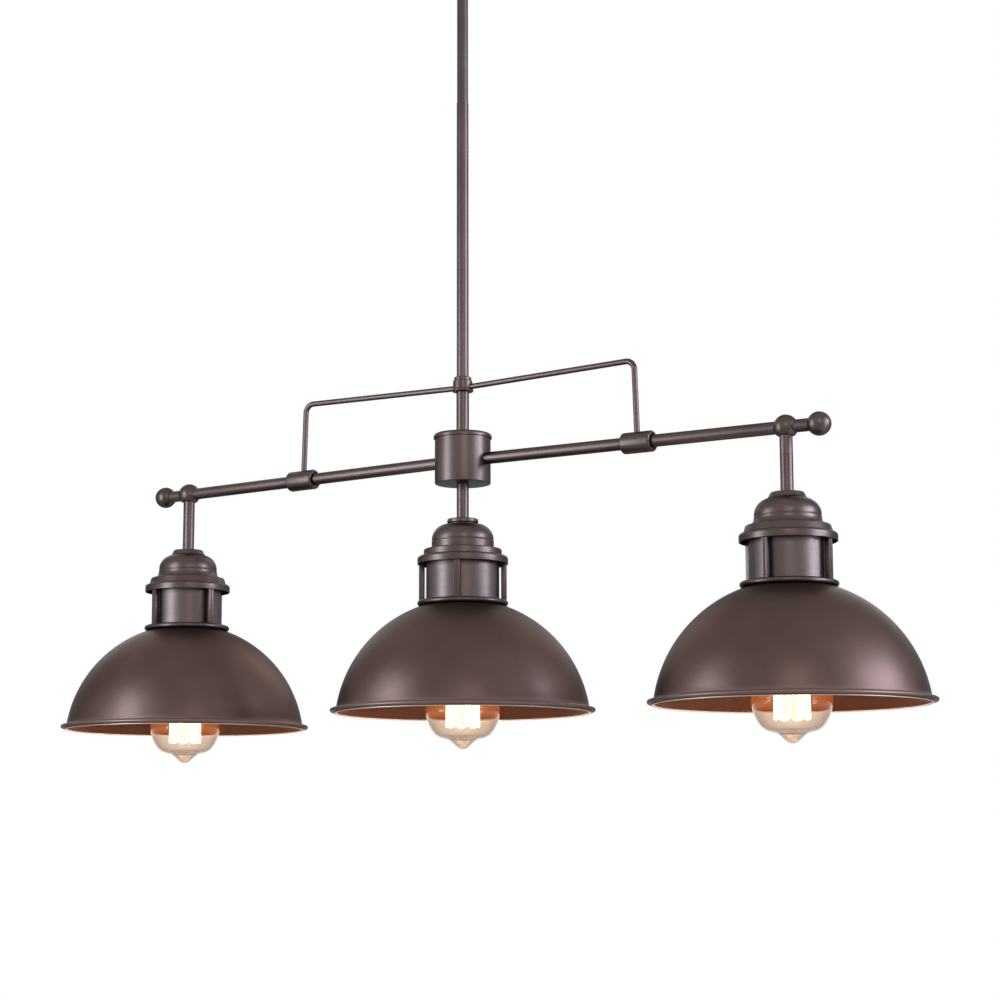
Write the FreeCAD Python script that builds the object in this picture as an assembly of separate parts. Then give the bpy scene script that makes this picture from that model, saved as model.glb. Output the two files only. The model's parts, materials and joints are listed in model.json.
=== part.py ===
import FreeCAD, Part
import math
import os

# Island chandelier: three domed metal shades in a row under one long arm, which hangs from a
# ceiling canopy on two screwed rods and a swivel. Millimetres, +Z up. The origin is on the ceiling
# plane above the middle of the arm, +X runs along the arm, and the fixture hangs towards -Z.
# A depth below is measured downwards: from the ceiling, from the arm's axis for the frame, and from
# a lamp's own top for the pieces of a lamp.

# Clearances
thread_gap = 0.1
turn_gap = 0.1
free_gap = 0.3
overrun = 1.0
same_point = 1e-6

# Tubes and the screwed spigots that join them
rod_radius = 5.3
rod_bore = 4.2
upper_rod_radius = 5.0
stem_radius = 5.55
cable_bore = 3.1
spigot_length = 6.0
rod_length = 250.8

# Ceiling bar
bar_half_length = 59.0
bar_half_width = 10.0
bar_thickness = 2.0
bar_drop = 9.0
bar_foot_start = 25.0
bar_middle_half = 16.0
slot_centre = 39.7
slot_length = 18.0
slot_radius = 2.3

# Canopy, with its two ball-headed screws
canopy_radius = 66.5
canopy_height = 25.0
canopy_wall = 1.2
canopy_corner = 9.0
canopy_screw_place = 54.0
canopy_screw_radius = 2.0
canopy_knob_radius = 4.5
canopy_knob_neck = 3.2

# Hollow bolt that carries the swivel
nipple_radius = 5.0
nipple_bore = 3.4
nipple_above_bar = 3.0
nipple_flange_radius = 8.0
nipple_flange_height = 3.0

# Swivel
yoke_radius = 13.0
yoke_cavity_radius = 9.5
yoke_top = 4.0
yoke_corner = 2.0
yoke_below_pin = 6.5
yoke_slot_gap = 0.6
yoke_slot_above_pin = 1.0
ball_radius = 8.5
ball_top_gap = 1.0
ball_slot_floor = 1.5
barrel_length = 16.0
pin_radius = 2.0
pin_tip = 4.8
pin_head_radius = 3.6
pin_head_height = 2.0
pin_face = 12.4

# Cables and splices
cable_radius = 2.4
lead_radius = 1.0
lead_offset = 1.3
lead_rise = 3.4
lead_reach = 22.0
lead_bend = 2.0
lead_tail = 5.0
splice_radius = 4.6
splice_tip_radius = 3.4
splice_length = 14.0
splice_cup = 1.5
wire_radius = 1.5
wire_hub_bend = 14.0
wire_tee_bend = 6.0
wire_above_bend = 2.0
wire_depth = 45.0

# Collar that holds the two braces
collar_bottom = 61.25
collar_height = 13.2
collar_radius = 8.6
collar_lip_radius = 9.5
collar_lip_height = 2.6
collar_ring_radius = 7.6
collar_ring_height = 3.1
collar_rounding = 1.0
brace_start = 5.6

# Hub
hub_radius = 24.5
hub_wall = 1.6
hub_floor = 2.4
hub_bottom = 20.8
hub_top = 19.15
hub_edge = 0.7
lid_radius = 25.6
lid_height = 4.4
lid_rounding = 2.6
lid_skin = 1.8
lid_lip_depth = 3.0
lid_lip_width = 2.0
lid_boss_radius = 9.0
lid_boss_depth = 7.0

# Lock nuts on the rods' threaded ends
nut_flat_radius = 7.5
nut_height = 3.6
nut_sides = 6
nut_thread_end = 1.4

# Arms, which fall a little from the hub to their lamps, and what sits on them
lamp_spacing = 311.8
arm_fall = 2.7
finial_reach = 29.3
finial_radius = 9.8
finial_seat = 2.0
tee_radius = 10.1
tee_foot_depth = 7.0
tee_seam_depth = 22.4
tee_wire_hole = 3.6
brace_radius = 2.5
brace_corner_place = 173.0
brace_foot_place = 175.2
brace_start_height = 65.15
brace_corner_height = 68.95
brace_bend = 8.0
sleeve_place = 176.2
sleeve_length = 28.6
sleeve_radius = 9.0
sleeve_rounding = 2.0
sleeve_recess_radius = 6.6
sleeve_recess_depth = 1.4

# Lamps: how far each top hangs below the arm's axis, and how each is turned on its rod
centre_drop = 50.05
side_drop = 51.55
head_turns = {"left": -14.3, "center": 26.0, "right": -3.7}

# Neck of a lamp; the middle lamp has a plain disc, the outer two a cone
neck_top = 1.7
neck_bottom = 6.4
disc_radius = 13.6
disc_bottom = 5.4
disc_foot_radius = 12.2
disc_rounding = 1.2
disc_edge = 0.8
cone_top_radius = 13.2
cone_foot_radius = 16.2
cone_rounding = 1.5

# Cap; on the outer two the dome and the step flare at the foot
cap_wall = 1.2
dome_radius = 27.0
dome_rounding = 13.6
dome_flare = 2.6
flare_bend_share = 0.28
groove_depth = 20.8
groove_width = 0.9
groove_cut = 0.45
step_top = 28.4
step_radius = 34.0
step_flare = 1.9
step_rounding = 1.4
rim_top = 34.6
rim_radius = 39.5
rim_rounding = 2.6
rim_bottom = 41.6
rim_edge = 0.4
rim_wall = 1.0
rim_shelf = 36.9

# Cup round the socket
cup_radius = 31.8
cup_wall = 1.0
cup_hole = 3.0

# Gallery ring
gallery_bead = 2.4
gallery_radius = 39.5
gallery_bead_depth = 75.6
gallery_plate = 2.0
gallery_hole = 20.5

# Posts, with a rivet in each
post_count = 4
post_inner = 33.7
post_outer = 38.2
post_width = 5.4
post_groove = 0.5
post_seat = 1.4
rivet_radius = 0.9
rivet_length = 2.2
rivet_proud = 0.35
rivet_place = 70.0

# Shade: part of a sphere, from its flat crown to the hem round its mouth
shade_radius = 110.2
shade_crown_radius = 35.9
shade_mouth_rise = 14.0
shade_wall = 1.0
shade_hem = 2.9
shade_flange = 4.1

# Socket
socket_radius = 19.0
socket_cap_radius = 16.5
socket_cap_depth = 46.0
socket_bottom = 88.0
socket_rounding = 1.4
socket_bore = 14.2
socket_bore_top = 59.0
socket_wire_end = 50.0
shell_wall = 0.8
shell_plate = 0.7
shell_bottom = 86.5

# Bulb
base_length = 27.2
base_radius = 13.0
base_root_radius = 12.5
base_bore = 11.9
base_contact_radius = 3.6
base_contact_height = 1.6
base_cone_radius = 11.4
base_cone_height = 4.4
base_bore_height = 7.0
thread_pitch = 3.63
thread_turns = 5
thread_crest_share = 0.5
glass_neck_top = 76.0
glass_neck_flare = 2.2
glass_neck_reach = 1.1
glass_hole = 8.9
glass_radius = 32.2
glass_centre = 167.0
glass_wall = 1.0
glass_shoulder_radius = 10.0
glass_shoulder_start = 46
glass_shoulder_end = 9
glass_waist = (13.1, 193.1)
glass_waist_rounding = 6.0
glass_tip = 201.3
glass_tip_radius = 7.4
glass_tip_end = 38

# Filament and the glass stem that carries it
stem_flare_height = 1.0
stem_flare_cone = 8.0
stem_tube_radius = 3.4
stem_tube_end = 112.0
stem_rod_radius = 1.1
stem_rod_end = 180.0
cage_top = 116.0
cage_top_radius = 9.0
cage_bottom = 184.0
cage_bottom_radius = 14.3
cage_strands = 12
strand_radius = 0.45
hook_radius = 0.3

# Heights worked out from the sizes above
bar_middle = bar_drop + bar_thickness
yoke_start = canopy_height + free_gap
flange_start = yoke_start + yoke_top
flange_end = flange_start + nipple_flange_height
pivot_depth = flange_end + ball_top_gap + ball_radius
barrel_end = pivot_depth + barrel_length
joint_depth = barrel_end + rod_length
collar_top = collar_bottom + collar_height
arm_depth = joint_depth + rod_length + collar_top
spigot_radius = rod_bore - thread_gap
cap_inner_top = neck_bottom + cap_wall
cup_top = step_top + cap_wall
gallery_top = gallery_bead_depth + gallery_bead - gallery_plate
gallery_bottom = gallery_bead_depth + gallery_bead
rod_end_depth = cap_inner_top + nut_height + nut_thread_end
bulb_top = socket_bore_top + shell_plate + free_gap
base_end = bulb_top + base_length
finial_place = lamp_spacing + finial_reach
shade_centre = gallery_bottom + math.sqrt(shade_radius ** 2 - shade_crown_radius ** 2)
shade_mouth = shade_centre - shade_mouth_rise
shade_rim_radius = shade_radius + shade_flange

THROUGH = "through"
UP = FreeCAD.Vector(0, 0, 1)
ALONG = FreeCAD.Vector(1, 0, 0)
ACROSS = FreeCAD.Vector(0, 1, 0)
ORIGIN = FreeCAD.Vector(0, 0, 0)


def flat(point):
    """A point of a drawing in the XZ plane."""
    return FreeCAD.Vector(point[0], 0, point[1])


def kind(point):
    """Zero for a sharp corner, a radius for a rounded one, or THROUGH for the middle of an arc."""
    return point[2] if len(point) > 2 else 0


def rounding(before, here, after, radius):
    """Start, middle and end of the arc that rounds a corner."""
    back = (before - here).normalize()
    onward = (after - here).normalize()
    half = back.getAngle(onward) / 2
    reach = radius / math.tan(half)
    inward = (back + onward).normalize() * (radius / math.sin(half) - radius)
    return here + back * reach, here + inward, here + onward * reach


def drawing(points, closed=True):
    """Edges of an outline, in order. A point is (x, z), (x, z, radius) or (x, z, THROUGH)."""
    count = len(points)
    arrive = {}
    leave = {}
    rounds = {}
    for i, point in enumerate(points):
        arrive[i] = leave[i] = flat(point)
        if kind(point) and kind(point) != THROUGH:
            before = flat(points[i - 1])
            after = flat(points[(i + 1) % count])
            rounds[i] = rounding(before, flat(point), after, kind(point))
            arrive[i] = rounds[i][0]
            leave[i] = rounds[i][2]
    edges = []
    for i in range(count if closed else count - 1):
        after = (i + 1) % count
        if i in rounds:
            edges.append(Part.Arc(*rounds[i]).toShape())
        if kind(points[i]) == THROUGH:
            continue
        if kind(points[after]) == THROUGH:
            beyond = (after + 1) % count
            edges.append(Part.Arc(leave[i], flat(points[after]), arrive[beyond]).toShape())
        elif not leave[i].isEqual(arrive[after], same_point):
            edges.append(Part.LineSegment(leave[i], arrive[after]).toShape())
    return edges


def turned(points, x=0):
    """A solid turned about a vertical axis; the points are (radius, z)."""
    face = Part.Face(Part.Wire(drawing(points)))
    solid = face.revolve(ORIGIN, UP, 360)
    return solid.translate(FreeCAD.Vector(x, 0, 0))


def turned_down(points):
    """The same for points that are (radius, depth)."""
    return turned([(p[0], -p[1]) + tuple(p[2:]) for p in points])


def turned_along(points):
    """A solid turned about the X axis; the points are (x, radius)."""
    return Part.Face(Part.Wire(drawing(points))).revolve(ORIGIN, ALONG, 360)


def upright(radius, low, high, x=0, y=0):
    return Part.makeCylinder(radius, high - low, FreeCAD.Vector(x, y, low))


def lying(radius, low, high, z=0):
    return Part.makeCylinder(radius, high - low, FreeCAD.Vector(low, 0, z), ALONG)


def block(low, high):
    size = [b - a for a, b in zip(low, high)]
    return Part.makeBox(size[0], size[1], size[2], FreeCAD.Vector(*low))


def bent(points, radius):
    """A round bar along an open path of straight runs and tangent arcs in the XZ plane."""
    path = Part.Wire(drawing(points, closed=False))
    start = flat(points[0])
    ring = Part.Wire(Part.makeCircle(radius, start, flat(points[1]) - start))
    return path.makePipeShell([ring], True, False)


def straight(start, end, radius):
    return Part.makeCylinder(radius, (end - start).Length, start, end - start)


def moved(shape, x=0, z=0, turn=0):
    """A copy turned about its own upright axis and put in its place."""
    copy = shape.copy()
    copy.rotate(ORIGIN, UP, turn)
    return copy.translate(FreeCAD.Vector(x, 0, z))


def mirrored(shape):
    """A copy on the other side of the middle, by half a turn about the upright axis."""
    return moved(shape, turn=180)


def arm_height(x):
    """Height of the +X arm's axis, which starts at zero in the hub."""
    return -arm_fall * x / lamp_spacing


def sloped(shape):
    """A copy tipped in the hub so that its X axis falls like the +X arm."""
    copy = shape.copy()
    copy.rotate(ORIGIN, ACROSS, math.degrees(math.atan2(arm_fall, lamp_spacing)))
    return copy


def group(shapes):
    return Part.makeCompound(shapes)


def mounting_bar():
    """Bowed steel strip; its ends lie on the ceiling and its middle holds the hollow bolt."""
    slope = math.atan2(bar_drop, bar_foot_start - bar_middle_half)
    shift = bar_thickness * math.tan(slope / 2)
    upper = [
        (bar_half_length, 0),
        (bar_foot_start, 0),
        (bar_middle_half, -bar_drop),
        (-bar_middle_half, -bar_drop),
        (-bar_foot_start, 0),
        (-bar_half_length, 0),
    ]
    lower = [
        (-bar_half_length, -bar_thickness),
        (-bar_foot_start - shift, -bar_thickness),
        (-bar_middle_half - shift, -bar_middle),
        (bar_middle_half + shift, -bar_middle),
        (bar_foot_start + shift, -bar_thickness),
        (bar_half_length, -bar_thickness),
    ]
    face = Part.Face(Part.Wire(drawing(upper + lower)))
    strip = face.extrude(FreeCAD.Vector(0, 2 * bar_half_width, 0))
    strip.translate(FreeCAD.Vector(0, -bar_half_width, 0))
    strip = strip.cut(upright(nipple_radius + thread_gap, -bar_middle - overrun, overrun))
    low = -bar_thickness - overrun
    for side in (-1, 1):
        place = side * canopy_screw_place
        strip = strip.cut(upright(canopy_screw_radius + thread_gap, low, overrun, place))
        strip = strip.cut(slot(side * slot_centre, low))
    return strip


def slot(x, low):
    """A cutter for one slotted screw hole along X."""
    reach = slot_length / 2 - slot_radius
    middle = block((x - reach, -slot_radius, low), (x + reach, slot_radius, overrun))
    ends = [upright(slot_radius, low, overrun, x + side * reach) for side in (-1, 1)]
    return middle.fuse(ends)


def canopy():
    inner = canopy_radius - canopy_wall
    bore = nipple_radius + free_gap
    dish = turned_down([
        (bore, canopy_height),
        (canopy_radius, canopy_height, canopy_corner),
        (canopy_radius, 0),
        (inner, 0),
        (inner, canopy_height - canopy_wall, canopy_corner - canopy_wall),
        (bore, canopy_height - canopy_wall),
    ])
    for side in (-1, 1):
        hole = canopy_screw_radius + free_gap
        low = -canopy_height - overrun
        dish = dish.cut(upright(hole, low, low + canopy_height / 2, side * canopy_screw_place))
    return dish


def canopy_screw(x):
    """Screw with a ball head that pulls the canopy up against the ceiling."""
    centre = canopy_height + canopy_knob_neck
    seat = math.sqrt(canopy_knob_radius ** 2 - canopy_knob_neck ** 2)
    return turned([
        (0, 0),
        (canopy_screw_radius, 0),
        (canopy_screw_radius, -canopy_height),
        (seat, -canopy_height),
        (canopy_knob_radius, -centre, THROUGH),
        (0, -centre - canopy_knob_radius),
    ], x)


def canopy_nipple():
    """Hollow bolt: screwed into the bar, with a flange that the swivel turns on."""
    return turned_down([
        (nipple_bore, bar_drop - nipple_above_bar),
        (nipple_radius, bar_drop - nipple_above_bar),
        (nipple_radius, flange_start),
        (nipple_flange_radius, flange_start),
        (nipple_flange_radius, flange_end),
        (nipple_bore, flange_end),
    ])


def swivel_yoke():
    end = pivot_depth + yoke_below_pin
    body = turned_down([
        (nipple_radius + turn_gap, yoke_start),
        (yoke_radius, yoke_start, yoke_corner),
        (yoke_radius, end, yoke_corner / 2),
        (yoke_cavity_radius, end),
        (yoke_cavity_radius, flange_start),
        (nipple_radius + turn_gap, flange_start),
    ])
    half_slot = rod_radius + yoke_slot_gap
    reach = yoke_radius + overrun
    slot_top = -pivot_depth - yoke_slot_above_pin
    body = body.cut(block((-half_slot, -reach, -end - overrun), (half_slot, reach, slot_top)))
    body = body.cut(lying(pin_radius + thread_gap, -reach, reach, -pivot_depth))
    for low, high in ((-reach, -pin_face), (pin_face, reach)):
        body = body.cut(lying(pin_head_radius + thread_gap, low, high, -pivot_depth))
    return body


def swivel_screw():
    """One of the two pivot screws, on the +X side."""
    screw = turned_along([
        (pin_tip, 0),
        (pin_tip, pin_radius),
        (pin_face, pin_radius),
        (pin_face, pin_head_radius),
        (pin_face + pin_head_height, pin_head_radius, pin_head_height / 4),
        (pin_face + pin_head_height, 0),
    ])
    return screw.translate(FreeCAD.Vector(0, 0, -pivot_depth))


def swivel_barrel():
    """Slotted ball and stem that hang on the two pivot screws and hold the upper rod."""
    stem = upright(rod_radius, -barrel_length, 0)
    body = Part.makeSphere(ball_radius).fuse(stem)
    body = body.fuse(upright(spigot_radius, -barrel_length - spigot_length, -barrel_length))
    body = body.cut(upright(cable_bore, -barrel_length - spigot_length - overrun, 0))
    reach = ball_radius + overrun
    body = body.cut(block((-cable_bore, -reach, -ball_slot_floor), (cable_bore, reach, reach)))
    for low, high in ((-reach, -pin_tip + turn_gap), (pin_tip - turn_gap, reach)):
        body = body.cut(lying(pin_radius + turn_gap, low, high))
    return body.translate(FreeCAD.Vector(0, 0, -pivot_depth))


def tube(radius, bore, low, high, x=0):
    return upright(radius, low, high, x).cut(upright(bore, low - overrun, high + overrun, x))


def spigoted(radius, low, high, lower=True, upper=True, x=0):
    """A tube with a thinner threaded spigot at one end or both."""
    first = low - spigot_length if lower else low
    last = high + spigot_length if upper else high
    body = upright(radius, low, high, x).fuse(upright(spigot_radius, first, last, x))
    return body.cut(upright(cable_bore, first - overrun, last + overrun, x))


def brace_collar():
    """Turned collar between the stem and the lower rod, with a hole each side for a brace."""
    ring_start = collar_top - collar_ring_height
    lip_top = collar_bottom + collar_lip_height
    body = turned([
        (rod_bore, collar_bottom),
        (collar_lip_radius, collar_bottom, collar_rounding),
        (collar_lip_radius, lip_top, collar_rounding),
        (collar_radius, lip_top),
        (collar_radius, ring_start, collar_rounding),
        (collar_ring_radius, ring_start),
        (collar_ring_radius, collar_top, collar_rounding),
        (rod_bore, collar_top),
    ])
    hole = brace_hole()
    return body.cut(hole).cut(mirrored(hole))


def brace_hole():
    start = flat((brace_start, brace_start_height))
    return straight(start, brace_corner(), brace_radius + thread_gap)


def brace_corner():
    return flat((brace_corner_place, brace_corner_height))


def brace_foot():
    """Middle of the brace's end face, just above the +X arm."""
    top = arm_height(brace_foot_place) + rod_radius + free_gap
    return flat((brace_foot_place, top))


def brace():
    """Bent bar from the collar down to the sleeve on the +X arm."""
    foot = brace_foot()
    return bent([
        (brace_start, brace_start_height),
        (brace_corner_place, brace_corner_height, brace_bend),
        (foot.x, foot.z),
    ], brace_radius)


def hub_shell():
    inner = hub_radius - hub_wall
    body = turned([
        (rod_radius + thread_gap, -hub_bottom),
        (hub_radius, -hub_bottom, hub_edge),
        (hub_radius, hub_top),
        (inner, hub_top),
        (inner, hub_floor - hub_bottom),
        (rod_radius + thread_gap, hub_floor - hub_bottom),
    ])
    hole = sloped(lying(rod_radius + thread_gap, hub_radius / 2, hub_radius + overrun))
    return body.cut(hole).cut(mirrored(hole))


def hub_lid():
    top = hub_top + lid_height
    lip = hub_radius - hub_wall - thread_gap
    return turned([
        (rod_bore, top - lid_boss_depth),
        (lid_boss_radius, top - lid_boss_depth),
        (lid_boss_radius, top - lid_skin),
        (lip - lid_lip_width, top - lid_skin),
        (lip - lid_lip_width, hub_top - lid_lip_depth),
        (lip, hub_top - lid_lip_depth),
        (lip, hub_top),
        (lid_radius, hub_top),
        (lid_radius, top, lid_rounding),
        (rod_bore, top),
    ])


def arm_nut_face():
    """How far out a nut on an arm can sit inside the round hub wall."""
    corner = nut_flat_radius / math.cos(math.pi / nut_sides)
    return math.sqrt((hub_radius - hub_wall) ** 2 - corner ** 2)


def arm():
    """The +X arm: one tube from inside the hub to inside the end ball."""
    start = arm_nut_face() - nut_height - nut_thread_end
    end = finial_place + finial_seat
    body = lying(rod_radius, start, end).cut(lying(rod_bore, start - overrun, end + overrun))
    middle = arm_height(lamp_spacing)
    low = middle - rod_radius - overrun
    return sloped(body).cut(upright(tee_wire_hole, low, middle, lamp_spacing))


def nut():
    """Hexagonal lock nut, standing on its lower face."""
    corner = nut_flat_radius / math.cos(math.pi / nut_sides)
    corners = []
    for i in range(nut_sides + 1):
        angle = 2 * math.pi * i / nut_sides
        corners.append(FreeCAD.Vector(corner * math.cos(angle), corner * math.sin(angle), 0))
    body = Part.Face(Part.makePolygon(corners)).extrude(FreeCAD.Vector(0, 0, nut_height))
    return body.cut(upright(rod_radius + thread_gap, -overrun, nut_height + overrun))


def rod_nuts():
    """One nut under each lamp's cap, one on the hub's floor and one inside each arm's hole."""
    nuts = []
    for name in head_turns:
        nuts.append(moved(nut(), lamp_x(name), -lamp_drop(name) - cap_inner_top - nut_height))
    nuts.append(moved(nut(), 0, hub_floor - hub_bottom))
    lying_nut = nut()
    lying_nut.rotate(ORIGIN, ACROSS, 90)
    lying_nut = sloped(moved(lying_nut, arm_nut_face() - nut_height))
    return group(nuts + [lying_nut, mirrored(lying_nut)])


def arm_sleeve():
    start = sleeve_place - sleeve_length / 2
    end = sleeve_place + sleeve_length / 2
    bore = rod_radius + thread_gap
    body = turned_along([
        (start + sleeve_recess_depth, bore),
        (start + sleeve_recess_depth, sleeve_recess_radius),
        (start, sleeve_recess_radius),
        (start, sleeve_radius, sleeve_rounding),
        (end, sleeve_radius, sleeve_rounding),
        (end, sleeve_recess_radius),
        (end - sleeve_recess_depth, sleeve_recess_radius),
        (end - sleeve_recess_depth, bore),
    ])
    foot = brace_foot()
    corner = brace_corner()
    into = foot + (foot - corner).normalize() * rod_radius
    return sloped(body).cut(straight(corner, into, brace_radius + thread_gap))


def arm_tee():
    """Ball round the +X arm with the threaded stub that a lamp's rod screws into."""
    foot = math.sqrt(tee_radius ** 2 - tee_foot_depth ** 2)
    body = turned([
        (0, tee_radius),
        (tee_radius, 0, THROUGH),
        (foot, -tee_foot_depth),
        (rod_radius, -tee_foot_depth),
        (rod_radius, -tee_seam_depth),
        (rod_bore, -tee_seam_depth),
        (rod_bore, 0),
        (0, 0),
    ])
    body = moved(body, lamp_spacing, arm_height(lamp_spacing))
    reach = tee_radius + overrun
    bore = lying(rod_radius + thread_gap, lamp_spacing - reach, lamp_spacing + reach)
    return body.cut(sloped(bore))


def arm_finial():
    ball = Part.makeSphere(finial_radius, FreeCAD.Vector(finial_place, 0, 0))
    start = finial_place - finial_radius - overrun
    return sloped(ball.cut(lying(rod_radius + thread_gap, start, finial_place + finial_seat)))


def lamp_x(name):
    return {"left": -lamp_spacing, "center": 0, "right": lamp_spacing}[name]


def lamp_drop(name):
    """How far a lamp's top hangs below the middle of the hub."""
    return centre_drop if name == "center" else side_drop + arm_fall


def drop_rod(name):
    """The rod between the frame and one lamp."""
    end = -lamp_drop(name) - rod_end_depth
    if name == "center":
        start = hub_floor - hub_bottom + nut_height + nut_thread_end
        return tube(rod_radius, cable_bore, end, start)
    seam = arm_height(lamp_spacing) - tee_seam_depth
    return spigoted(rod_radius, end, seam, lower=False, x=lamp_x(name))


def feed_cable():
    """Mains cable from the splices above the bar down to the swivel's pivot."""
    end = -pivot_depth + cable_radius + free_gap
    top = nipple_above_bar - bar_drop
    cable = upright(cable_radius, end, top).fuse(Part.makeSphere(cable_radius, flat((0, end))))
    lead = bent([
        (lead_offset, top - lead_tail),
        (lead_offset, -lead_rise, lead_bend),
        (lead_reach, -lead_rise, lead_bend),
        (lead_reach, -lead_rise - lead_tail),
    ], lead_radius)
    lead = moved(lead, turn=90)
    return cable.fuse([lead, mirrored(lead)])


def splice_end():
    return -lead_rise - lead_tail


def wire_connectors():
    """A twist-on cap on each of the two leads."""
    mouth = splice_end() + splice_cup
    cap = turned([
        (0, mouth - splice_length),
        (splice_tip_radius, mouth - splice_length, splice_cup),
        (splice_radius, mouth, splice_cup / 3),
        (lead_radius + thread_gap, mouth),
        (lead_radius + thread_gap, splice_end()),
        (0, splice_end()),
    ], lead_reach)
    cap = moved(cap, turn=90)
    return group([cap, mirrored(cap)])


def lamp_wires():
    """Cable from the pivot to the hub, and from there one wire through each arm and rod."""
    split = wire_hub_bend + wire_above_bend
    top = arm_depth - pivot_depth - cable_radius - free_gap
    end = -side_drop - arm_fall - wire_depth
    cable = upright(cable_radius, split, top).fuse(Part.makeSphere(cable_radius, flat((0, top))))
    side = bent([
        (0, split),
        (0, 0, wire_hub_bend),
        (lamp_spacing, arm_height(lamp_spacing), wire_tee_bend),
        (lamp_spacing, end),
    ], wire_radius)
    middle = upright(wire_radius, -centre_drop - wire_depth, split)
    return cable.fuse([side, mirrored(side), middle])


def neck(name):
    """What shows between a lamp's rod and its cap."""
    bore = rod_radius + turn_gap
    if name == "center":
        return turned_down([
            (bore, neck_top),
            (disc_radius, neck_top, disc_rounding),
            (disc_radius, disc_bottom, disc_edge),
            (disc_foot_radius, disc_bottom),
            (disc_foot_radius, neck_bottom),
            (bore, neck_bottom),
        ])
    return turned_down([
        (bore, neck_top),
        (cone_top_radius, neck_top, cone_rounding),
        (cone_foot_radius, neck_bottom),
        (bore, neck_bottom),
    ])


def dome_foot(name):
    """Outline of the dome below its groove: upright on the middle lamp, flared on the others."""
    start = groove_depth + groove_width
    if name == "center":
        return [(dome_radius, start), (dome_radius, step_top)]
    bend = (dome_radius + dome_flare * flare_bend_share, (start + step_top) / 2, THROUGH)
    return [(dome_radius, start), bend, (dome_radius + dome_flare, step_top)]


def cap(name):
    """Spun cap: dome, groove, step and rim, hollow below."""
    bore = rod_radius + turn_gap
    step_foot = step_radius if name == "center" else step_radius + step_flare
    return turned_down([
        (bore, neck_bottom),
        (dome_radius, neck_bottom, dome_rounding),
        (dome_radius, groove_depth),
        (dome_radius - groove_cut, groove_depth + groove_width / 2),
        *dome_foot(name),
        (step_radius, step_top, step_rounding),
        (step_foot, rim_top),
        (rim_radius, rim_top, rim_rounding),
        (rim_radius, rim_bottom, rim_edge),
        (rim_radius - rim_wall, rim_bottom),
        (rim_radius - rim_wall, rim_shelf),
        (step_radius - cap_wall, rim_shelf),
        (step_radius - cap_wall, cup_top),
        (dome_radius - cap_wall, cup_top),
        (dome_radius - cap_wall, cap_inner_top, dome_rounding - cap_wall),
        (bore, cap_inner_top),
    ])


def cup():
    """Brushed cylinder between cap and gallery, closed on top."""
    return turned_down([
        (cup_hole, cup_top),
        (cup_radius, cup_top),
        (cup_radius, gallery_top),
        (cup_radius - cup_wall, gallery_top),
        (cup_radius - cup_wall, cup_top + cup_wall),
        (cup_hole, cup_top + cup_wall),
    ])


def post_bars(extra=0):
    """The four posts as plain bars, or as cutters for their seats."""
    foot = gallery_bead_depth - gallery_bead + post_seat
    half = post_width / 2 + extra
    low = (post_inner - extra, -half, -foot)
    bar = block(low, (post_outer + extra, half, -rim_shelf))
    return [moved(bar, turn=360 * i / post_count) for i in range(post_count)]


def posts():
    """Four grooved posts, each with a rivet near its foot."""
    middle = post_outer - post_groove
    foot = gallery_bead_depth + overrun
    top = rivet_place - 2 * rivet_radius
    groove = block((middle, -post_groove / 2, -top), (post_outer + overrun, post_groove / 2, 0))
    hole = lying(rivet_radius, post_outer - rivet_length, foot, -rivet_place)
    rivet = turned_along([
        (post_outer - rivet_length, 0),
        (post_outer - rivet_length, rivet_radius),
        (post_outer, rivet_radius),
        (post_outer + rivet_proud, 0),
    ]).translate(FreeCAD.Vector(0, 0, -rivet_place))
    pieces = []
    for i, bar in enumerate(post_bars()):
        turn = 360 * i / post_count
        bar = bar.cut(moved(groove, turn=turn)).cut(moved(hole, turn=turn))
        pieces.append(bar)
        pieces.append(moved(rivet, turn=turn))
    return group(pieces)


def gallery():
    """Beaded ring that the posts stand on and the shade hangs from."""
    centre = gallery_radius - gallery_bead
    reach = math.sqrt(gallery_bead ** 2 - (gallery_top - gallery_bead_depth) ** 2)
    lean = gallery_bead / math.sqrt(2)
    ring = turned_down([
        (gallery_hole, gallery_top),
        (centre - reach, gallery_top),
        (centre + lean, gallery_bead_depth - lean, THROUGH),
        (centre, gallery_bottom),
        (gallery_hole, gallery_bottom),
    ])
    return ring.cut(post_bars(thread_gap))


def shade_point(radius, depth):
    """Where a sphere about the shade's centre meets a depth."""
    return (math.sqrt(radius ** 2 - (shade_centre - depth) ** 2), depth)


def shade():
    """Spun dome with a flat crown and a hem rolled outward round its mouth."""
    inner = shade_radius - shade_wall
    crown = gallery_bottom
    hem_top = shade_mouth - shade_hem / 2
    hem_bottom = shade_mouth + shade_hem / 2
    halfway = (crown + hem_top) / 2
    return turned_down([
        (gallery_hole, crown),
        shade_point(shade_radius, crown),
        shade_point(shade_radius, halfway) + (THROUGH,),
        shade_point(shade_radius, hem_top),
        (shade_rim_radius - shade_hem / 2, hem_top),
        (shade_rim_radius, shade_mouth, THROUGH),
        (shade_rim_radius - shade_hem / 2, hem_bottom),
        shade_point(inner, hem_bottom),
        shade_point(inner, halfway) + (THROUGH,),
        shade_point(inner, crown + shade_wall),
        (gallery_hole, crown + shade_wall),
    ])


def socket():
    """Moulded lamp holder hung from the cup's top."""
    top = cup_top + cup_wall
    return turned_down([
        (0, socket_wire_end),
        (cup_hole, socket_wire_end),
        (cup_hole, top),
        (socket_cap_radius, top, socket_rounding),
        (socket_cap_radius, socket_cap_depth),
        (socket_radius, socket_cap_depth, socket_rounding),
        (socket_radius, socket_bottom, socket_rounding),
        (socket_bore, socket_bottom),
        (socket_bore, socket_bore_top),
        (0, socket_bore_top),
    ])


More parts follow.
